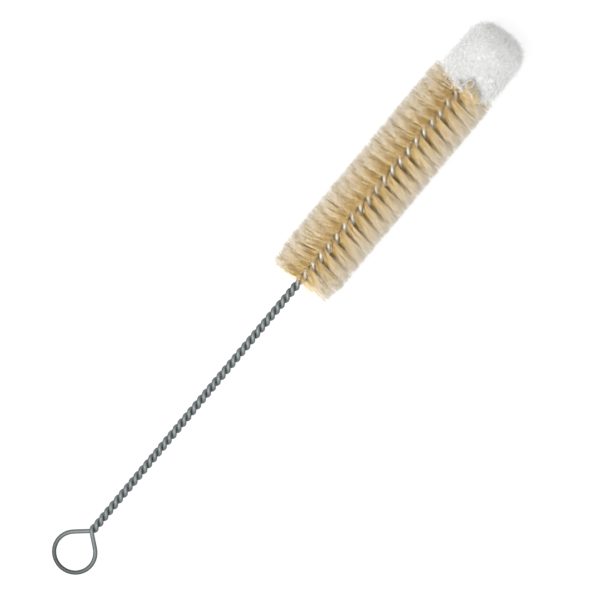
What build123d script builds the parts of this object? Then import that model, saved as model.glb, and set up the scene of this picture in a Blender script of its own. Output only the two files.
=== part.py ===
# Bottle brush: one folded and twisted wire with a hanging loop, a spiral of bristles and a white wool tip.
# Millimetres. +X runs along the wire to the tip, +Z is up, and the brush lies on its bristles at z = 0.
import os
from math import acos, ceil, cos, floor, radians, sin, tan

from build123d import *

os.makedirs("parts", exist_ok=True)

# Wire
wire_diameter = 1.5
wire_sides = 6
strand_clearance = 0.04
runs_per_turn = 8

# Hanging loop
loop_radius = 7.15
loop_neck = 9.45
loop_runs = 24

# Bare stem
stem_length = 112.1
stem_turns = 21
spread_runs = 6

# Bristles
bristle_length = 88.7
bristle_flats = 25.2
head_pitch = 8.5
root_gap = 0.8
tufts_per_turn = 12
tuft_fill_share = 0.83
root_width = 0.5
root_clearance = 0.12

# Wool tip
wool_length = 22.8
wool_diameter = 22.4
wire_in_wool = 14.4
wool_cuts = 8
wool_clearance = 0.05
# Stations of the dome as shares of the length and of the radius
dome_shares = (
    (0.00, 0.88),
    (0.05, 0.97),
    (0.20, 1.00),
    (0.50, 0.99),
    (0.72, 0.90),
    (0.86, 0.72),
    (0.955, 0.46),
    (0.99, 0.20),
    (1.00, 0.00),
)

half_share = 0.5
full_turn = 360.0
quarter_turn = 90.0
half_turn = 180.0

# Worked out along the length
wire_radius = wire_diameter * half_share
loop_reach = loop_radius + wire_radius
total_length = loop_reach + loop_neck + stem_length + bristle_length + wool_length
loop_x = loop_reach - total_length * half_share
stem_x = loop_x + loop_neck
head_x = stem_x + stem_length
wool_x = head_x + bristle_length
axis_z = bristle_flats * half_share

# Worked out across the twist
run_angle = full_turn / runs_per_turn
run_corner = cos(radians(run_angle * half_share))
stem_strand = (wire_diameter + strand_clearance) * half_share / run_corner
head_strand = (wire_diameter + root_gap) * half_share / run_corner
head_reach = head_strand + wire_radius / run_corner
stem_run = stem_length / (stem_turns * runs_per_turn)
head_run = head_pitch / runs_per_turn
stem_runs = stem_turns * runs_per_turn
head_runs = round((bristle_length + wire_in_wool) / head_run)


def strand_point(run, side):
    # Corner of one strand, counted in straight runs from the crossing above the loop
    spread = min(max((run - stem_runs + spread_runs) / spread_runs, 0), 1)
    offset = stem_strand + (head_strand - stem_strand) * spread
    along = stem_x + min(run, stem_runs) * stem_run + max(run - stem_runs, 0) * head_run
    turn = radians(quarter_turn - run * run_angle)
    return (along, side * offset * cos(turn), axis_z + side * offset * sin(turn))


def loop_point(angle):
    # Point of the round part of the loop, which lies level with the wire's axis
    turn = radians(angle)
    return (loop_x + loop_radius * cos(turn), loop_radius * sin(turn), axis_z)


leg_angle = acos(loop_radius / loop_neck) * half_turn / radians(half_turn)
arc_angle = full_turn - leg_angle - leg_angle
upper_strand = [strand_point(run, 1) for run in range(stem_runs + head_runs + 1)]
lower_strand = [strand_point(run, -1) for run in range(stem_runs + head_runs + 1)]
loop_points = [loop_point(-leg_angle - arc_angle * run / loop_runs) for run in range(loop_runs + 1)]

# Wire: up one strand, round the loop and back along the other, in one piece
with BuildPart() as wire:
    with BuildLine() as wire_path:
        Polyline(*reversed(upper_strand), *loop_points, *lower_strand)
    with BuildSketch(Plane(wire_path.line @ 0, z_dir=wire_path.line % 0)):
        RegularPolygon(wire_radius, wire_sides)
    sweep(path=wire_path.line, transition=Transition.RIGHT)
wire.part.label = "wire"
export_step(wire.part, "parts/wire.step")

# Bristle bundle: fans out on both sides of a thin root that passes between the strands
tuft_angle = full_turn / tufts_per_turn
tuft_step = head_pitch / tufts_per_turn
tuft_spread = tan(radians(tuft_angle * half_share))
root_reach = head_reach + root_clearance
half_root = root_width * half_share
half_neck = root_reach * tuft_spread
half_mouth = axis_z * tuft_spread
half_step = tuft_step * half_share
half_rim = head_pitch * half_share * tuft_fill_share * half_share
first_tuft = ceil(half_rim / tuft_step)
last_tuft = floor((bristle_length - half_rim) / tuft_step)


def bundle_outline(*quarter):
    # Outline of a bundle from the corners of one quarter, mirrored to the other three
    upper = [*quarter, *[(-across, up) for across, up in reversed(quarter)]]
    return [*upper, *[(-across, -up) for across, up in upper]]


front_outline = bundle_outline((half_root, root_reach), (half_neck, root_reach), (half_mouth, axis_z))
side_outline = bundle_outline((half_step, root_reach), (half_rim, axis_z))

with BuildPart() as bundle:
    with BuildSketch(Plane.YZ):
        Polygon(*front_outline, align=None)
    extrude(amount=half_rim, both=True)
    with BuildSketch(Plane.XZ):
        Polygon(*side_outline, align=None)
    extrude(amount=half_mouth, both=True, mode=Mode.INTERSECT)

# Bristles: one bundle after another, each turned a step further, square to the two strands
tuft_places = [
    Location((head_x + tuft * tuft_step, 0, axis_z), (quarter_turn - tuft * tuft_angle, 0, 0))
    for tuft in range(first_tuft, last_tuft + 1)
]
with BuildPart() as bristles:
    with Locations(*tuft_places):
        add(bundle.part)
bristles.part.label = "bristles"
export_step(bristles.part, "parts/bristles.step")

# Wool tip: a domed outline laid across the axis at several turns, kept where all of them overlap
wool_radius = wool_diameter * half_share
bore_radius = head_reach + wool_clearance
bore_depth = head_runs * head_run - bristle_length + wire_radius + wool_clearance
dome_length = wool_length - wool_clearance
dome_points = [(wool_clearance + dome_length * along, wool_radius * out) for along, out in dome_shares]
dome_outline = [*dome_points, *[(along, -out) for along, out in reversed(dome_points[:-1])]]
wool_start = (wool_x, 0, axis_z)

with BuildPart() as wool_tip:
    for cut in range(wool_cuts):
        turn = radians(half_turn * cut / wool_cuts)
        with BuildSketch(Plane(wool_start, x_dir=(1, 0, 0), z_dir=(0, cos(turn), sin(turn)))):
            Polygon(*dome_outline, align=None)
        extrude(amount=wool_radius, both=True, mode=Mode.INTERSECT if cut else Mode.ADD)
    # Blind hole for the end of the wire
    with BuildSketch(Plane(wool_start, x_dir=(0, 1, 0), z_dir=(1, 0, 0))):
        Circle(bore_radius)
    extrude(amount=bore_depth, mode=Mode.SUBTRACT)
wool_tip.part.label = "wool_tip"
export_step(wool_tip.part, "parts/wool_tip.step")
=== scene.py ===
"""Looks of the bottle brush: a folded and twisted wire, a spiral of natural bristles and a white wool tip.

Metres and radians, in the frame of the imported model: +X along the wire to the tip, +Z up, and the brush lies
on its bristles at z = 0.
"""

import math
import random

import bmesh
import bpy
import numpy as np
from mathutils import Matrix, Vector, noise


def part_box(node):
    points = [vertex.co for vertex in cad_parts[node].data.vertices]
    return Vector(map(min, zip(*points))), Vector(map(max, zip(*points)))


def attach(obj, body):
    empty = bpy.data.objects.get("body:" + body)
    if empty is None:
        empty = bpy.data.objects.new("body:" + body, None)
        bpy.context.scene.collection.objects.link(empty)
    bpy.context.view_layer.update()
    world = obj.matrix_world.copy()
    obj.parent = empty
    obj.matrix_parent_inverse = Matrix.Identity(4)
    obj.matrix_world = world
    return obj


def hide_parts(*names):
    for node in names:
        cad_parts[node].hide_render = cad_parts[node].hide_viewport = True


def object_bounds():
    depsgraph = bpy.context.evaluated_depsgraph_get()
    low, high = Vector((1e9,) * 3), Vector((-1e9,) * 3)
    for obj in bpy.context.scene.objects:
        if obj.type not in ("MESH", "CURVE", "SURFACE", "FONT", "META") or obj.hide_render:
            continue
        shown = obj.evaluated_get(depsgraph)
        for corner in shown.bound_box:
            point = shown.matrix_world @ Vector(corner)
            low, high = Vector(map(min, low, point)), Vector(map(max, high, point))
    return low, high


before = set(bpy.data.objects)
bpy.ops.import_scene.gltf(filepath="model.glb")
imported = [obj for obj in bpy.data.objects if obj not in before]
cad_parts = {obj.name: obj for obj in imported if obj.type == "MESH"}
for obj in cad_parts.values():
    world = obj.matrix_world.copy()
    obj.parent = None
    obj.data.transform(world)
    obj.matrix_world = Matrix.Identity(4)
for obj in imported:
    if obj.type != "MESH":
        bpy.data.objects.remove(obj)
cad_low, cad_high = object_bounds()
bristle_low, bristle_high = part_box("bristles")
wool_low, wool_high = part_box("wool_tip")
wire_low, wire_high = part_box("wire")

MM = 0.001
FLOOR_GAP = 0.05 * MM

# Wire, drawn by control points one run apart
WIRE_RADIUS = 0.75 * MM
LOOP_RADIUS = 7.15 * MM
LOOP_NECK = 9.45 * MM
LOOP_RUNS = 24
STEM_LENGTH = 112.1 * MM
STEM_TURNS = 21
HEAD_PITCH = 8.5 * MM
RUNS_PER_TURN = 8
SPREAD_RUNS = 5
STEM_OFFSET = 0.833 * MM
HEAD_OFFSET = 1.245 * MM
WIRE_ROUND_STEPS = 4
WIRE_CURVE_STEPS = 3
CURVE_ORDER = 3

# Strands of hair and wool, and their places on the map
STRAND_SIDES = 3
MAP_MARGIN = 0.01
MAP_SPAN = 0.97
MAP_CORNER = 0.004

# Bristles, and the course of each from its root to its cut end
BRISTLE_PIECES = ("bristles_handle_end", "bristles_middle", "bristles_wool_end")
BRISTLE_SEED = 11
BRISTLES_PER_PIECE = 6300
BRISTLES_PER_LOCK = 3
BRISTLE_RADIUS = 0.057 * MM
BRISTLE_SHARES = (0.03, 0.17, 0.45, 1.0)
BRISTLE_TAPER_SHARES = (1.0, 1.0, 0.95, 0.75)
BRISTLE_WANDER = 0.14 * MM
FAN_SHARES = (0.38, 0.5, 0.8, 1.0)
SPLAY_POWER = 1.4
PAST_HEAD_END = 0.3 * MM

# How the locks and the hairs in them differ; the reach is the least, the most and the usual
BRISTLE_FAN = 1.24
FAN_MIX_SHARES = (0.8, 0.2)
FAN_SCATTER = 0.05
CROSSING_SHARE = 0.1
BRISTLE_LEAN = 0.3 * MM
LOCK_LEAN_SHARE = 0.2
LEAN_SCATTER = 0.12 * MM
LOCK_SPLAY = 0.45 * MM
SPLAY_SCATTER = 0.36 * MM
ROOT_SCATTER = 0.32 * MM
REACH_SHARES = (0.91, 1.01, 0.985)
HAIR_SHADE_SHARES = (0.6, 0.4)

# Parting along the top, and the wider splay of the hairs at the sides and below
PARTING = 0.42
SHORT_SHARE = 0.62
SHORT_REACH_SHARES = (0.2, 0.5)
LOW_SPLAY_GAIN = 3.5
LOW_SPLAY_START = 0.3
LEAST_DIP = 0.1

# Both ends of the head
BARE_END = 2.2 * MM
END_FAN_LENGTH = 2.4 * MM
END_FAN_SHARE = 0.6
END_LEAN = 0.8 * MM
END_LEAN_LENGTH = 5 * MM
END_TAPER_LENGTH = 9 * MM
END_REACH_SHARE = 0.9
LAST_ROW = 1.2 * MM
LAST_ROW_ANGLE = 0.8
LAST_ROW_REACH_SHARES = (0.3, 0.62)

# Wisp of the last bristles; its turns are the least, the most and the usual
WISP_SEED = 21
WISP_BRISTLES = 240
WISP_SHARES = (0.03, 0.25, 0.5, 0.78, 0.92, 0.965, 0.97)
WISP_LEAN_SHARES = (0.0, -0.02, -0.02, -0.02, 0.12, 0.5, 1.0)
WISP_TAPER_SHARES = (1.0, 1.0, 1.0, 1.0, 1.0, 0.95, 0.75)
WISP_TURNS = (math.radians(93), math.radians(136), math.radians(110))
WISP_EDGE_TURN = math.radians(134)
WISP_EDGE_LEAN = 1.6 * MM
WISP_LEAN_GAIN = 7.4 * MM
WISP_LEAN_RANGE_SHARES = (0.4, 1.05)
WISP_ROOTS = (-0.4 * MM, 1.4 * MM)
WISP_REACH_SHARES = (0.93, 1.02)
WISP_WANDER = 0.1 * MM
WISP_SHADES = (0.15, 0.7)

# Body of the wool: a higher power gives a squarer end, and its lumps are pairs of size and fineness
WOOL_DOME_POWER = 3.0
WOOL_FOOT_POWER = 14.0
WOOL_ASIDE = 0.5 * MM
WOOL_CORE_SHARE = 0.87
CORE_SUBDIVISIONS = 5
CORE_LUMPS = ((0.02, 4.5), (0.02, 11))

# Loose wool in locks, single strays and fibres that hang over the foot
WOOL_LAYERS = (("wool_inner", 31), ("wool_outer", 32))
WOOL_LOCKS = 2850
FIBRES_PER_LOCK = 2
WOOL_TIP_SHARE = 0.22
WOOL_SIDE_SPAN = 2.06
LOCK_TURN_SCATTER = 0.1
LOCK_LENGTHS = (1.6 * MM, 4.2 * MM)
LOCK_LIFTS = (0.3 * MM, 2.0 * MM, 1.0 * MM)
LOCK_CURLS = (0.2 * MM, 0.6 * MM)
FIBRE_SHADE_SHARES = (0.75, 0.25)
WOOL_STRAYS = 260
STRAY_LENGTHS = (1.2 * MM, 3.0 * MM)
STRAY_LIFTS = (1.6 * MM, 3.4 * MM)
STRAY_CURL = 0.4 * MM
WOOL_HANGS = 140
HANG_TURN_SHARES = (0.1, 0.9, 0.52)
HANG_LENGTH = 1.5 * MM
HANG_LIFTS = (1.2 * MM, 2.2 * MM)
HANG_DROPS = (0.3 * MM, 1.4 * MM)

# Each fibre of the loose wool
FIBRE_RADIUS = 0.06 * MM
FIBRE_THINNING_SHARE = 0.5
FIBRE_STEPS = 6
FIBRE_TURNS = (0.4, 1.3)
FIBRE_ROOT_SCATTER = 0.5 * MM
FIBRE_ROOT_DEPTH_SHARE = 0.02
FIBRE_LAY_SCATTER = 0.4
FIBRE_PHASE_SCATTER = 0.7
FIBRE_LENGTH_SHARES = (0.7, 1.15)
FIBRE_LIFT_SHARES = (0.6, 1.3)

# Curl of wool come loose at the foot of the tip
CURL_SEED = 41
CURL_FIBRES = 24
CURL_STEPS = 24
CURL_CURVE_STEPS = 12
CURL_RADIUS = 0.32 * MM
CURL_HEIGHT = 12.0 * MM
CURL_SETTLE_SHARE = 0.06
CURL_SETTLE_START = 1.5 * MM
CURL_TURNS = (0.6, 1.6)
CURL_STRAY = 0.6 * MM
# Kept low so that the curl's strands are darker: painted shade
CURL_SHADES = (0.0, 0.6)
# Control points in millimetres past the end of the bristles and across the axis
CURL_ROUTES = (
    (
        (0.6, 1.3), (1.5, 0.5), (2.6, -0.4), (4.2, -0.5), (5.3, -1.6),
        (4.4, -2.7), (2.7, -2.7), (2.1, -1.6), (2.5, -0.5),
    ),
    ((3.0, -0.2), (2.0, -1.2), (0.9, -2.6), (1.2, -3.6), (0.8, -4.6), (0.1, -5.4)),
    ((2.2, 1.9), (1.2, 1.7), (0.3, 1.1), (0.2, 0.3), (0.9, -0.3)),
)

# Colours as stops of place and colour: along a strand, along the wire, or over the levels of a pattern
BRISTLE_COLOURS = (
    (0.0, (1.0, 0.78, 0.40)),
    (0.45, (0.96, 0.745, 0.335)),
    (0.85, (0.77, 0.635, 0.40)),
    (1.0, (0.71, 0.66, 0.575)),
)
WOOL_COLOURS = ((0.0, (0.87, 0.87, 0.86)), (0.6, (0.905, 0.91, 0.905)))
# Painted shade: the curl is the tip's own wool, made darker than the fleece
CURL_PAINTED_SHADE = ((0.0, (0.64, 0.61, 0.56)), (0.6, (0.71, 0.69, 0.65)))
# Painted shade: the depth of the fleece, darker than the loose fibres over it, in grey flecks
CORE_PAINTED_SHADE = ((0.32, (0.63, 0.62, 0.59)), (0.6, (0.75, 0.75, 0.73)))
WIRE_CLOUDS = ((0.3, (0.58, 0.60, 0.60)), (0.7, (0.78, 0.79, 0.78)))
# Painted shade along the wire, darkest at the loop, and painted reflection of the bristles, palest among them
WIRE_PAINTED_SHADE = (
    (0.0, (0.11, 0.115, 0.12)),
    (0.06, (0.18, 0.19, 0.195)),
    (0.14, (0.28, 0.305, 0.31)),
    (0.93, (0.30, 0.325, 0.33)),
    (1.0, (0.8, 0.8, 0.8)),
)
FEW_DARK = (
    (0.0, (0.0, 0.0, 0.0)),
    (0.2, (0.65, 0.65, 0.65)),
    (0.6, (0.97, 0.97, 0.97)),
    (1.0, (1.0, 1.0, 1.0)),
)

# Stage: paper, dome of light and one soft lamp
PAPER_HALF = 3.0
PAPER_WHITE_SHARE = 0.88
SHADOW_SHARES = (0.6, 1.0)
DOME_LEVEL = 0.7
WHITE_LEVEL = 1.0
KEY_PLACE = Vector((-0.16, 0.08, 1.05))
KEY_AIM = Vector((0.03, 0, 0.01))
KEY_SIZE = 0.7
KEY_POWER = 14

# Camera, which looks down from the tip's side
VIEW_TILT = math.radians(12)
AXIS_TURN = math.radians(50.255)
PIXEL = 0.345 * MM * math.cos(VIEW_TILT)
IMAGE_WIDTH = 600
SENSOR_WIDTH = 36
CAMERA_DISTANCE = 2.5
VIEW_ALONG = 5.14 * MM
VIEW_ASIDE = -12.15 * PIXEL

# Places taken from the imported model
AXIS_Z = (bristle_low.z + bristle_high.z) / 2
HEAD_RADIUS = (bristle_high.z - bristle_low.z) / 2
LOOP_X = cad_low.x + LOOP_RADIUS + WIRE_RADIUS
STEM_X = LOOP_X + LOOP_NECK
HEAD_X = STEM_X + STEM_LENGTH
HEAD_END_X = wool_low.x
WOOL_RADIUS = (wool_high.y - wool_low.y) / 2
WOOL_LENGTH = wool_high.x - wool_low.x
WOOL_MIDDLE = (wool_low + wool_high) / 2 + Vector((0, -WOOL_ASIDE, 0))


def add_object(name, data):
    """A new object at the origin, in the scene."""
    obj = bpy.data.objects.new(name, data)
    bpy.context.scene.collection.objects.link(obj)
    return obj


def add_piece(name, mesh, node, material):
    """A finished piece of the brush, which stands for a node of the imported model."""
    piece = add_object(name, mesh)
    mesh.polygons.foreach_set("use_smooth", [True] * len(mesh.polygons))
    mesh.materials.clear()
    mesh.materials.append(material)
    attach(piece, "root")
    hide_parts(node)


def smooth_curve(name, points, steps):
    """A smooth curve drawn by control points, with so many steps from one to the next."""
    curve = bpy.data.curves.new(name, "CURVE")
    curve.dimensions = "3D"
    spline = curve.splines.new("NURBS")
    spline.points.add(len(points) - 1)
    spline.points.foreach_set("co", [c for p in points for c in (*p, 1)])
    spline.order_u = CURVE_ORDER
    spline.use_endpoint_u = True
    spline.resolution_u = steps
    return curve


def mesh_of_curve(curve, name):
    """The curve as a mesh; the curve itself is removed."""
    holder = add_object(name + "_path", curve)
    bpy.context.view_layer.update()
    depsgraph = bpy.context.evaluated_depsgraph_get()
    mesh = bpy.data.meshes.new_from_object(holder.evaluated_get(depsgraph))
    mesh.name = name
    bpy.data.objects.remove(holder)
    bpy.data.curves.remove(curve)
    return mesh


def close_ends(mesh):
    """Caps on the open ends of every tube in a mesh."""
    tubes = bmesh.new()
    tubes.from_mesh(mesh)
    bmesh.ops.holes_fill(tubes, edges=[edge for edge in tubes.edges if edge.is_boundary], sides=0)
    tubes.to_mesh(mesh)
    tubes.free()


def map_strands(mesh, steps, shades):
    """The map of each strand: v runs from root to tip, and the strand's shade sets its place in u."""
    corners = np.empty(len(mesh.loops), np.int32)
    mesh.loops.foreach_get("vertex_index", corners)
    strand = corners // (STRAND_SIDES * steps)
    along = corners // STRAND_SIDES % steps
    side = corners % STRAND_SIDES
    places = np.empty((len(corners), 2), np.float32)
    places[:, 0] = MAP_MARGIN + MAP_SPAN * np.array(shades, np.float32)[strand] + MAP_CORNER * side
    places[:, 1] = MAP_MARGIN + MAP_SPAN * along / (steps - 1) + MAP_CORNER * (side == STRAND_SIDES - 1)
    layer = mesh.uv_layers.get("OFBake") or mesh.uv_layers.new(name="OFBake")
    layer.uv.foreach_set("vector", places.ravel())
    for other in [item.name for item in mesh.uv_layers if item.name != "OFBake"]:
        mesh.uv_layers.remove(mesh.uv_layers[other])


def strand_mesh(name, paths, radii, shades):
    """Many thin three-sided strands along paths with equal numbers of points."""
    section = bpy.data.curves.new(name + "_section", "CURVE")
    section_spline = section.splines.new("POLY")
    section_spline.points.add(STRAND_SIDES - 1)
    for corner, point in enumerate(section_spline.points):
        turn = -math.tau * corner / STRAND_SIDES
        point.co = (math.cos(turn), math.sin(turn), 0, 1)
    section_spline.use_cyclic_u = True
    section_object = add_object(name + "_section", section)

    curve = bpy.data.curves.new(name, "CURVE")
    curve.dimensions = "3D"
    curve.bevel_mode = "OBJECT"
    curve.bevel_object = section_object
    steps = len(radii)
    for path in paths:
        spline = curve.splines.new("POLY")
        spline.points.add(steps - 1)
        spline.points.foreach_set("co", [c for p in path for c in (*p, 1)])
        spline.points.foreach_set("radius", radii)
    mesh = mesh_of_curve(curve, name)
    bpy.data.objects.remove(section_object)
    bpy.data.curves.remove(section)
    close_ends(mesh)
    map_strands(mesh, steps, shades)
    return mesh


# Wire


def twist_angle(x):
    """Turn of the upper strand about the axis, in the head, from +Y towards +Z."""
    return math.pi / 2 - math.tau * (x - HEAD_X) / HEAD_PITCH


def strand_point(run, side):
    """Control point of one strand, counted in runs from the crossing above the loop."""
    stem_runs = STEM_TURNS * RUNS_PER_TURN
    spread = min(max((run - stem_runs) / SPREAD_RUNS, 0), 1)
    offset = STEM_OFFSET + (HEAD_OFFSET - STEM_OFFSET) * spread
    x = STEM_X + min(run, stem_runs) * STEM_LENGTH / stem_runs
    x += max(run - stem_runs, 0) * HEAD_PITCH / RUNS_PER_TURN
    turn = math.pi / 2 - math.tau * run / RUNS_PER_TURN
    return Vector((x, side * offset * math.cos(turn), AXIS_Z + side * offset * math.sin(turn)))


def wire_mesh(name):
    """The whole wire: along one strand, round the loop and back along the other."""
    head_runs = round((wire_high.x - HEAD_X) / HEAD_PITCH * RUNS_PER_TURN)
    runs = STEM_TURNS * RUNS_PER_TURN + head_runs
    leg = math.acos(LOOP_RADIUS / LOOP_NECK)
    route = [strand_point(run, 1) for run in range(runs, -1, -1)]
    for run in range(LOOP_RUNS + 1):
        turn = -leg - (math.tau - 2 * leg) * run / LOOP_RUNS
        x = LOOP_X + LOOP_RADIUS * math.cos(turn)
        route.append(Vector((x, LOOP_RADIUS * math.sin(turn), AXIS_Z)))
    route += [strand_point(run, -1) for run in range(runs + 1)]

    curve = smooth_curve(name, route, WIRE_CURVE_STEPS)
    curve.bevel_depth = WIRE_RADIUS
    curve.bevel_resolution = WIRE_ROUND_STEPS
    mesh = mesh_of_curve(curve, name)
    close_ends(mesh)
    return mesh


# Bristles


def lock_fan(x, rng):
    """How far a lock is turned round from between the strands; some locks cross the groove."""
    main_share, rest_share = FAN_MIX_SHARES
    fan = BRISTLE_FAN * (main_share * rng.uniform(-1, 1) + rest_share * rng.uniform(-1, 1))
    if rng.random() < CROSSING_SHARE:
        fan = rng.uniform(-math.pi / 2, math.pi / 2)
    return fan * (1 + END_FAN_SHARE * max(1 - (x - HEAD_X - BARE_END) / END_FAN_LENGTH, 0))


def part_at_top(x, turn, fan, reach, rng):
    """Fan and reach of a bristle: those near the top are short or turned aside, and show the wire."""
    from_top = (turn + fan + math.pi / 2) % math.tau - math.pi
    if x > HEAD_END_X - LAST_ROW and abs(from_top) < LAST_ROW_ANGLE:
        reach *= rng.uniform(*LAST_ROW_REACH_SHARES)
    elif abs(from_top) < PARTING and rng.random() < SHORT_SHARE:
        reach *= rng.uniform(*SHORT_REACH_SHARES)
    elif abs(from_top) < math.pi / 2 and rng.random() > CROSSING_SHARE:
        fan += math.copysign(PARTING * (1 - abs(from_top) / (math.pi / 2)), from_top)
    return fan, reach


def bristle_path(x, turn, fan, lean, splay, reach, rng):
    """One bristle from between the strands, round the strand beside it, to its cut end."""
    path = []
    for share, fan_share in zip(BRISTLE_SHARES, FAN_SHARES):
        out = reach * share
        angle = turn + fan * fan_share
        wander = BRISTLE_WANDER * math.sin(math.pi * share)
        along = x - lean * math.sin(math.pi / 2 * share) + splay * share**SPLAY_POWER
        y = out * math.cos(angle) + rng.uniform(-wander, wander)
        z = AXIS_Z + out * math.sin(angle) + rng.uniform(-wander, wander)
        along = min(along + rng.uniform(-wander, wander), HEAD_END_X + PAST_HEAD_END)
        path.append((along, y, max(z, FLOOR_GAP)))
    return path


def bristle_stretch(start, end, seed):
    """Paths and shades of one stretch of the spiral, lock by lock."""
    rng = random.Random(seed)
    lock_shade_share, own_shade_share = HAIR_SHADE_SHARES
    paths = []
    shades = []
    locks = BRISTLES_PER_PIECE // BRISTLES_PER_LOCK
    for lock in range(locks):
        x_lock = start + (end - start) * (lock + rng.random()) / locks
        side = math.pi * rng.randrange(2) + math.pi / 2
        fan_lock = lock_fan(x_lock, rng)
        lean_lock = BRISTLE_LEAN * rng.gauss(1, LOCK_LEAN_SHARE)
        splay_lock = rng.triangular(-LOCK_SPLAY, LOCK_SPLAY, 0.0)
        shade_lock = rng.random()
        for _ in range(BRISTLES_PER_LOCK):
            x = x_lock + rng.gauss(0, ROOT_SCATTER)
            turn = twist_angle(x) + side
            fan = fan_lock + rng.gauss(0, FAN_SCATTER)
            lean = lean_lock + rng.gauss(0, LEAN_SCATTER)
            lean += END_LEAN * max(1 - (x - HEAD_X) / END_LEAN_LENGTH, 0)
            splay = splay_lock + rng.gauss(0, SPLAY_SCATTER)
            from_end = min(max((x - HEAD_X) / END_TAPER_LENGTH, 0), 1)
            reach = HEAD_RADIUS * (END_REACH_SHARE + (1 - END_REACH_SHARE) * from_end)
            reach *= rng.triangular(*REACH_SHARES)
            fan, reach = part_at_top(x, turn, fan, reach, rng)
            dip = -math.sin(turn + fan)
            if dip > 0:
                reach = min(reach, (AXIS_Z - FLOOR_GAP) / max(dip, LEAST_DIP))
            splay *= 1 + LOW_SPLAY_GAIN * max(dip + LOW_SPLAY_START, 0)
            paths.append(bristle_path(x, turn, fan, lean, splay, reach, rng))
            shades.append(lock_shade_share * shade_lock + own_shade_share * rng.random())
    return paths, shades


def bristle_piece(name, start, end, seed, material):
    """One stretch of the spiral as a piece."""
    paths, shades = bristle_stretch(start, end, seed)
    radii = [BRISTLE_RADIUS * share for share in BRISTLE_TAPER_SHARES]
    add_piece(name, strand_mesh(name, paths, radii, shades), "bristles", material)


def bristle_wisp(name, material):
    """The last bristles on one side, bent over the foot of the wool."""
    rng = random.Random(WISP_SEED)
    paths = []
    shades = []
    for _ in range(WISP_BRISTLES):
        turn = rng.triangular(*WISP_TURNS)
        lean = WISP_EDGE_LEAN + WISP_LEAN_GAIN * (WISP_EDGE_TURN - turn)
        lean *= rng.uniform(*WISP_LEAN_RANGE_SHARES)
        x = HEAD_END_X - rng.uniform(*WISP_ROOTS)
        reach = HEAD_RADIUS * rng.uniform(*WISP_REACH_SHARES)
        path = []
        for share, lean_share in zip(WISP_SHARES, WISP_LEAN_SHARES):
            out = reach * share
            y = out * math.cos(turn) + rng.uniform(-WISP_WANDER, WISP_WANDER)
            path.append((x + lean * lean_share, y, AXIS_Z + out * math.sin(turn)))
        paths.append(path)
        shades.append(rng.uniform(*WISP_SHADES))
    radii = [BRISTLE_RADIUS * share for share in WISP_TAPER_SHARES]
    add_piece(name, strand_mesh(name, paths, radii, shades), "bristles", material)


# Wool


def wool_surface(way, share):
    """The point of the rounded wool body in a direction from its middle, at a share of its full size."""
    x = way.x / (WOOL_LENGTH / 2)
    r = math.hypot(way.y, way.z) / WOOL_RADIUS
    power = WOOL_DOME_POWER if x > 0 else WOOL_FOOT_POWER
    size = (abs(x) ** power + r**power) ** (-1 / power)
    return WOOL_MIDDLE + way * size * share


def wool_core(name, material):
    """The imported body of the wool, lumpy under its loose fibres."""
    body = bmesh.new()
    bmesh.ops.create_icosphere(body, subdivisions=CORE_SUBDIVISIONS, radius=1)
    for vert in body.verts:
        lump = sum(size * noise.noise(vert.co * fineness) for size, fineness in CORE_LUMPS)
        vert.co = wool_surface(vert.co, WOOL_CORE_SHARE + lump)
    mesh = bpy.data.meshes.new(name)
    body.to_mesh(mesh)
    body.free()
    add_piece(name, mesh, "wool_tip", material)


def random_way(rng):
    """A direction with no bias."""
    return Vector((rng.gauss(0, 1), rng.gauss(0, 1), rng.gauss(0, 1))).normalized()


def wool_lock(rng, way, length, lift, curl, fibres, hang=0.0):
    """A few curly fibres that lie about the same way along the body and lift off it towards their ends."""
    lay_lock = Matrix.Rotation(rng.uniform(0, math.tau), 3, way) @ way.orthogonal().normalized()
    turns = rng.uniform(*FIBRE_TURNS)
    phase_lock = rng.uniform(0, math.tau)
    root_share = WOOL_CORE_SHARE - FIBRE_ROOT_DEPTH_SHARE
    paths = []
    for _ in range(fibres):
        root = wool_surface(way, 1.0) + random_way(rng) * FIBRE_ROOT_SCATTER
        lay = Matrix.Rotation(rng.gauss(0, FIBRE_LAY_SCATTER), 3, way) @ lay_lock
        side = way.cross(lay).normalized()
        phase = phase_lock + rng.gauss(0, FIBRE_PHASE_SCATTER)
        reach = length * rng.uniform(*FIBRE_LENGTH_SHARES)
        lift_here = lift * rng.uniform(*FIBRE_LIFT_SHARES)
        path = []
        for step in range(FIBRE_STEPS):
            share = step / (FIBRE_STEPS - 1)
            swing = phase + math.tau * turns * share
            off = lay * (reach * share) + side * (curl * math.cos(swing))
            rise = lift_here * share + curl * (1 + math.sin(swing)) / 2
            place = wool_surface(root + off - WOOL_MIDDLE, root_share + rise / WOOL_RADIUS)
            path.append((place.x - hang * share**2, place.y, max(place.z, FLOOR_GAP)))
        paths.append(path)
    return paths


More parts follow.
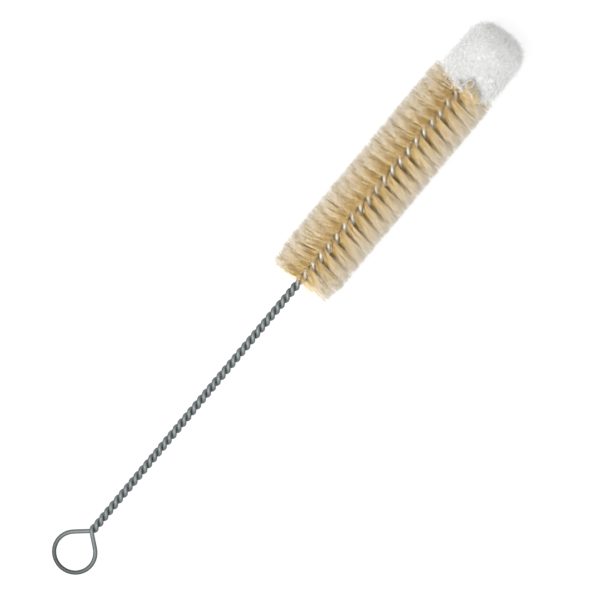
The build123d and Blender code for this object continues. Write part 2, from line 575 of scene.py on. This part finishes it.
def wool_fleece(name, seed, material):
    """Half of the loose wool on the body: small curls spread evenly, single strays and hanging fibres."""
    rng = random.Random(seed)
    golden_turn = math.pi * (3 - math.sqrt(5))
    lock_shade_share, own_shade_share = FIBRE_SHADE_SHARES
    paths = []
    shades = []
    for lock in range(WOOL_LOCKS):
        share = (lock + rng.random()) / WOOL_LOCKS
        turn = golden_turn * lock + rng.uniform(-LOCK_TURN_SCATTER, LOCK_TURN_SCATTER) + seed
        along = 1 - WOOL_SIDE_SPAN * max(share - WOOL_TIP_SHARE, 0) / (1 - WOOL_TIP_SHARE)
        out = min(math.sqrt(share / WOOL_TIP_SHARE), 1) * WOOL_RADIUS
        way = Vector((along * WOOL_LENGTH / 2, out * math.cos(turn), out * math.sin(turn))).normalized()
        length = rng.uniform(*LOCK_LENGTHS)
        lift = rng.triangular(*LOCK_LIFTS)
        curl = rng.uniform(*LOCK_CURLS)
        shade_lock = rng.random()
        paths += wool_lock(rng, way, length, lift, curl, FIBRES_PER_LOCK)
        for _ in range(FIBRES_PER_LOCK):
            shades.append(lock_shade_share * shade_lock + own_shade_share * rng.random())
    for _ in range(WOOL_STRAYS):
        way = random_way(rng)
        length = rng.uniform(*STRAY_LENGTHS)
        lift = rng.uniform(*STRAY_LIFTS)
        paths += wool_lock(rng, way, length, lift, STRAY_CURL, 1)
        shades.append(rng.random())
    for _ in range(WOOL_HANGS):
        turn = math.pi * rng.triangular(*HANG_TURN_SHARES)
        way = Vector((-1, math.cos(turn), math.sin(turn))).normalized()
        lift = rng.uniform(*HANG_LIFTS)
        hang = rng.uniform(*HANG_DROPS)
        paths += wool_lock(rng, way, HANG_LENGTH, lift, STRAY_CURL, 1, hang)
        shades.append(rng.random())
    thinning = FIBRE_THINNING_SHARE / (FIBRE_STEPS - 1)
    radii = [FIBRE_RADIUS * (1 - thinning * step) for step in range(FIBRE_STEPS)]
    add_piece(name, strand_mesh(name, paths, radii, shades), "wool_tip", material)


def curl_spine(control):
    """Points along one loose end of the wool, which lies on the round of the brush."""
    points = []
    for along, across in control:
        past = along * MM
        aside = across * MM
        settle = CURL_SETTLE_SHARE * max(past - CURL_SETTLE_START, 0)
        height = math.sqrt((CURL_HEIGHT - settle) ** 2 - aside**2)
        points.append(Vector((HEAD_END_X + past, aside, AXIS_Z + height)))
    mesh = mesh_of_curve(smooth_curve("curl_spine", points, CURL_CURVE_STEPS), "curl_spine")
    route = [vert.co.copy() for vert in mesh.vertices]
    bpy.data.meshes.remove(mesh)
    return [route[round(pick)] for pick in np.linspace(0, len(route) - 1, CURL_STEPS)]


def wool_curl(name, material):
    """Spun ends of the wool that have come loose at its foot and lie over the last bristles."""
    rng = random.Random(CURL_SEED)
    paths = []
    shades = []
    for control in CURL_ROUTES:
        spine = curl_spine(control)
        for _ in range(CURL_FIBRES):
            phase = rng.uniform(0, math.tau)
            turns = rng.uniform(*CURL_TURNS)
            width = CURL_RADIUS * math.sqrt(rng.random())
            stray = random_way(rng) * rng.uniform(0, CURL_STRAY)
            path = []
            for step, point in enumerate(spine):
                ahead = spine[min(step + 1, CURL_STEPS - 1)] - spine[max(step - 1, 0)]
                side = ahead.cross(Vector((0, 0, 1))).normalized()
                up = side.cross(ahead).normalized()
                share = step / (CURL_STEPS - 1)
                swing = phase + math.tau * turns * share
                off = (side * math.cos(swing) + up * math.sin(swing)) * width
                path.append(tuple(point + off + stray * (2 * share - 1) ** 2))
            paths.append(path)
            shades.append(rng.uniform(*CURL_SHADES))
    radii = [FIBRE_RADIUS] * CURL_STEPS
    add_piece(name, strand_mesh(name, paths, radii, shades), "wool_tip", material)


# Nodes


def add_node(tree, kind, sockets=None):
    """A new node, with values set on its sockets."""
    node = tree.nodes.new(kind)
    for socket, value in (sockets or {}).items():
        node.inputs[socket].default_value = value
    return node


def calculate(tree, operation, *values):
    """The result of an operation on one or two values."""
    node = add_node(tree, "ShaderNodeMath")
    node.operation = operation
    for value, socket in zip(values, node.inputs):
        tree.links.new(value, socket)
    return node.outputs["Value"]


def rescale(tree, value, ranges):
    """A value carried from one range to another, each 0 to 1 where not given."""
    node = add_node(tree, "ShaderNodeMapRange", ranges)
    tree.links.new(value, node.inputs["Value"])
    return node.outputs["Result"]


def split(tree, vector):
    """The separate axes of a vector."""
    node = add_node(tree, "ShaderNodeSeparateXYZ")
    tree.links.new(vector, node.inputs["Vector"])
    return node.outputs


def object_place(tree):
    """Place on the piece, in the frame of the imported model."""
    return add_node(tree, "ShaderNodeTexCoord").outputs["Object"]


def cloud(tree, place, fineness, detail):
    """Cloudy noise over a place."""
    node = add_node(tree, "ShaderNodeTexNoise", {"Scale": fineness, "Detail": detail})
    tree.links.new(place, node.inputs["Vector"])
    return node.outputs["Fac"]


def colour_ramp(tree, value, stops):
    """Colours for the levels of a value, from stops of place and colour."""
    node = add_node(tree, "ShaderNodeValToRGB")
    elements = node.color_ramp.elements
    while len(elements) > 1:
        elements.remove(elements[-1])
    first_place, first_colour = stops[0]
    elements[0].position = first_place
    elements[0].color = (*first_colour, 1)
    for place, colour in stops[1:]:
        elements.new(place).color = (*colour, 1)
    tree.links.new(value, node.inputs["Fac"])
    return node.outputs["Color"]


def multiply(tree, first, second):
    """One colour times another."""
    node = add_node(tree, "ShaderNodeMix")
    node.data_type = "RGBA"
    node.blend_type = "MULTIPLY"
    node.inputs["Factor"].default_value = 1.0
    tree.links.new(first, node.inputs["A"])
    tree.links.new(second, node.inputs["B"])
    return node.outputs["Result"]


def add_bump(tree, shader, height, strength, depth):
    """Fine relief on a shader."""
    node = add_node(tree, "ShaderNodeBump", {"Strength": strength, "Distance": depth})
    tree.links.new(height, node.inputs["Height"])
    tree.links.new(node.outputs["Normal"], shader.inputs["Normal"])


def seen_directly(tree):
    """Mask of the rays that show the stage itself: straight to the camera, mirrored or through glass."""
    ray = add_node(tree, "ShaderNodeLightPath")
    seen = ray.outputs["Is Camera Ray"]
    for kind in ("Is Glossy Ray", "Is Transmission Ray"):
        seen = calculate(tree, "MAXIMUM", seen, ray.outputs[kind])
    return seen


# Materials


def new_material(name):
    """A material with only a Principled shader and its output."""
    material = bpy.data.materials.new(name)
    material.use_nodes = True
    tree = material.node_tree
    tree.nodes.clear()
    shader = add_node(tree, "ShaderNodeBsdfPrincipled")
    output = add_node(tree, "ShaderNodeOutputMaterial")
    tree.links.new(shader.outputs["BSDF"], output.inputs["Surface"])
    return material, tree, shader


def strand_group():
    """Node group for hair and wool.

    It gives the place along the strand, a tint for each strand, and fine scales with a roughness to match.
    """
    group = bpy.data.node_groups.new("strand", "ShaderNodeTree")
    for way, name, kind in (
        ("INPUT", "Dark", "NodeSocketColor"),
        ("INPUT", "Pale", "NodeSocketColor"),
        ("INPUT", "Sheen", "NodeSocketFloat"),
        ("INPUT", "Matt", "NodeSocketFloat"),
        ("OUTPUT", "Along", "NodeSocketFloat"),
        ("OUTPUT", "Tint", "NodeSocketColor"),
        ("OUTPUT", "Roughness", "NodeSocketFloat"),
        ("OUTPUT", "Scales", "NodeSocketFloat"),
    ):
        group.interface.new_socket(name, in_out=way, socket_type=kind)
    given = add_node(group, "NodeGroupInput")
    result = add_node(group, "NodeGroupOutput")
    strand_map = add_node(group, "ShaderNodeUVMap")
    strand_map.uv_map = "OFBake"
    place = split(group, strand_map.outputs["UV"])
    group.links.new(place["Y"], result.inputs["Along"])

    tint = add_node(group, "ShaderNodeMix")
    tint.data_type = "RGBA"
    group.links.new(colour_ramp(group, place["X"], FEW_DARK), tint.inputs["Factor"])
    group.links.new(given.outputs["Dark"], tint.inputs["A"])
    group.links.new(given.outputs["Pale"], tint.inputs["B"])
    group.links.new(tint.outputs["Result"], result.inputs["Tint"])

    scales = cloud(group, object_place(group), fineness=2400, detail=2)
    group.links.new(scales, result.inputs["Scales"])
    sheen = add_node(group, "ShaderNodeMapRange", {"From Min": 0.3, "From Max": 0.7})
    group.links.new(scales, sheen.inputs["Value"])
    group.links.new(given.outputs["Sheen"], sheen.inputs["To Min"])
    group.links.new(given.outputs["Matt"], sheen.inputs["To Max"])
    group.links.new(sheen.outputs["Result"], result.inputs["Roughness"])
    return group


def strand_material(name, group, colours, dark, sheen, matt):
    """Hair or wool: colours from root to tip, no two strands alike, finely scaled."""
    material, tree, shader = new_material(name)
    strand = add_node(tree, "ShaderNodeGroup")
    strand.node_tree = group
    strand.inputs["Dark"].default_value = (*dark, 1)
    strand.inputs["Pale"].default_value = (1, 1, 1, 1)
    strand.inputs["Sheen"].default_value = sheen
    strand.inputs["Matt"].default_value = matt
    along = colour_ramp(tree, strand.outputs["Along"], colours)
    tree.links.new(multiply(tree, along, strand.outputs["Tint"]), shader.inputs["Base Color"])
    tree.links.new(strand.outputs["Roughness"], shader.inputs["Roughness"])
    add_bump(tree, shader, strand.outputs["Scales"], strength=0.2, depth=0.02 * MM)
    shader.inputs["Specular IOR Level"].default_value = 0.3
    return material


def wire_material():
    """Galvanised steel: cool and dull, with painted shade darkest at the loop and painted reflection palest
    among the bristles.
    """
    material, tree, shader = new_material("galvanised_wire")
    place = object_place(tree)
    clouds = cloud(tree, place, fineness=900, detail=4)
    wire_run = {"From Min": wire_low.x, "From Max": HEAD_X + HEAD_PITCH}
    along = rescale(tree, split(tree, place)["X"], wire_run)
    tone = colour_ramp(tree, clouds, WIRE_CLOUDS)
    # Painted shade towards the loop and painted reflection among the bristles, by place along the wire
    grey = colour_ramp(tree, along, WIRE_PAINTED_SHADE)
    tree.links.new(multiply(tree, tone, grey), shader.inputs["Base Color"])
    dull = rescale(tree, clouds, {"To Min": 0.54, "To Max": 0.74})
    tree.links.new(dull, shader.inputs["Roughness"])
    add_bump(tree, shader, clouds, strength=0.25, depth=0.05 * MM)
    shader.inputs["Metallic"].default_value = 1.0
    # Painted shade in the reflections: a dark edge tint darkens the wire at grazing angles
    shader.inputs["Specular Tint"].default_value = (0.25, 0.27, 0.28, 1)
    return material


def wool_core_material():
    """The wool's depth: off-white, with soft grey and beige flecks; it is darker than the loose fibres, as
    painted shade of the fleece's depth and between its locks.
    """
    material, tree, shader = new_material("packed_wool")
    flecks = cloud(tree, object_place(tree), fineness=520, detail=5)
    # Painted shade of the fleece's depth, in flecks
    tree.links.new(colour_ramp(tree, flecks, CORE_PAINTED_SHADE), shader.inputs["Base Color"])
    add_bump(tree, shader, flecks, strength=0.55, depth=0.4 * MM)
    matt = rescale(tree, flecks, {"To Min": 0.8, "To Max": 1.0})
    tree.links.new(matt, shader.inputs["Roughness"])
    return material


def paper_material():
    """White paper that shows white to the camera and still takes a soft shadow under the head."""
    material, tree, shader = new_material("white_paper")
    shader.inputs["Base Color"].default_value = (0.93, 0.93, 0.93, 1)
    shader.inputs["Roughness"].default_value = 0.9
    glow = add_node(tree, "ShaderNodeEmission", {"Strength": 1.0})
    head_middle = (HEAD_X + HEAD_END_X) / 2
    under = add_node(tree, "ShaderNodeMapping", {"Location": (-head_middle, 0, 0)})
    tree.links.new(object_place(tree), under.inputs["Vector"])
    from_middle = split(tree, under.outputs["Vector"])
    shadow_start, shadow_end = (HEAD_RADIUS * share for share in SHADOW_SHARES)
    clear = []
    for axis, half in (("X", (HEAD_END_X - HEAD_X) / 2), ("Y", 0.0)):
        distance = calculate(tree, "ABSOLUTE", from_middle[axis])
        fade = {"From Min": half + shadow_start, "From Max": half + shadow_end, "To Max": PAPER_WHITE_SHARE}
        clear.append(rescale(tree, distance, fade))
    white = calculate(tree, "MULTIPLY", seen_directly(tree), calculate(tree, "MAXIMUM", *clear))
    blend = add_node(tree, "ShaderNodeMixShader")
    tree.links.new(white, blend.inputs["Fac"])
    tree.links.new(shader.outputs["BSDF"], blend.inputs[1])
    tree.links.new(glow.outputs["Emission"], blend.inputs[2])
    tree.links.new(blend.outputs["Shader"], tree.nodes["Material Output"].inputs["Surface"])
    return material


# Stage


def lay_paper():
    """The sheet that the brush lies on."""
    sheet = bmesh.new()
    bmesh.ops.create_grid(sheet, x_segments=1, y_segments=1, size=PAPER_HALF)
    mesh = bpy.data.meshes.new("paper")
    sheet.to_mesh(mesh)
    sheet.free()
    mesh.materials.append(paper_material())
    add_object("paper", mesh)


def light_studio():
    """A plain white dome, and one square soft lamp above the brush."""
    world = bpy.data.worlds.new("studio")
    bpy.context.scene.world = world
    world.use_nodes = True
    tree = world.node_tree
    background = tree.nodes["Background"]
    background.inputs["Color"].default_value = (1, 1, 1, 1)
    level = rescale(tree, seen_directly(tree), {"To Min": DOME_LEVEL, "To Max": WHITE_LEVEL})
    tree.links.new(level, background.inputs["Strength"])

    lamp = bpy.data.lights.new("key", "AREA")
    lamp.size = KEY_SIZE
    lamp.energy = KEY_POWER
    key = add_object("key", lamp)
    key.location = KEY_PLACE
    key.rotation_euler = (KEY_AIM - KEY_PLACE).to_track_quat("-Z", "Y").to_euler()


def place_camera():
    """The camera above the brush, turned so that the brush lies aslant in the picture."""
    lens = bpy.data.cameras.new("camera")
    lens.sensor_width = SENSOR_WIDTH
    lens.lens = SENSOR_WIDTH * CAMERA_DISTANCE / (IMAGE_WIDTH * PIXEL)
    camera = add_object("camera", lens)
    view = Matrix.Rotation(VIEW_TILT, 4, "Y") @ Matrix.Rotation(-AXIS_TURN, 4, "Z")
    camera.rotation_euler = view.to_euler()
    camera.location = Vector((VIEW_ALONG, VIEW_ASIDE, AXIS_Z)) + view @ Vector((0, 0, CAMERA_DISTANCE))
    bpy.context.scene.camera = camera


# Build

add_piece("wire_strands", wire_mesh("wire_strands"), "wire", wire_material())
strand_nodes = strand_group()
bristle_look = strand_material(
    "natural_bristle",
    strand_nodes,
    BRISTLE_COLOURS,
    dark=(0.68, 0.61, 0.53),
    sheen=0.45,
    matt=0.6,
)
stretch = (HEAD_END_X - HEAD_X) / len(BRISTLE_PIECES)
for number, piece_name in enumerate(BRISTLE_PIECES):
    first = HEAD_X + BARE_END + number * stretch
    last = min(first + stretch, HEAD_END_X)
    bristle_piece(piece_name, first, last, BRISTLE_SEED + number, bristle_look)
bristle_wisp("bristle_wisp", bristle_look)
wool_core("wool_core", wool_core_material())
wool_look = strand_material(
    "wool_fibre",
    strand_nodes,
    WOOL_COLOURS,
    dark=(0.95, 0.94, 0.92),
    sheen=0.75,
    matt=0.9,
)
# The curl is the tip's own wool; its darker colours and darker tint are painted shade
curl_look = strand_material(
    "spun_wool_shaded",
    strand_nodes,
    CURL_PAINTED_SHADE,
    dark=(0.85, 0.82, 0.78),
    sheen=0.75,
    matt=0.9,
)
for layer_name, layer_seed in WOOL_LAYERS:
    wool_fleece(layer_name, layer_seed, wool_look)
wool_curl("wool_curl", curl_look)

lay_paper()
light_studio()
place_camera()
bpy.context.scene.view_settings.view_transform = "Standard"
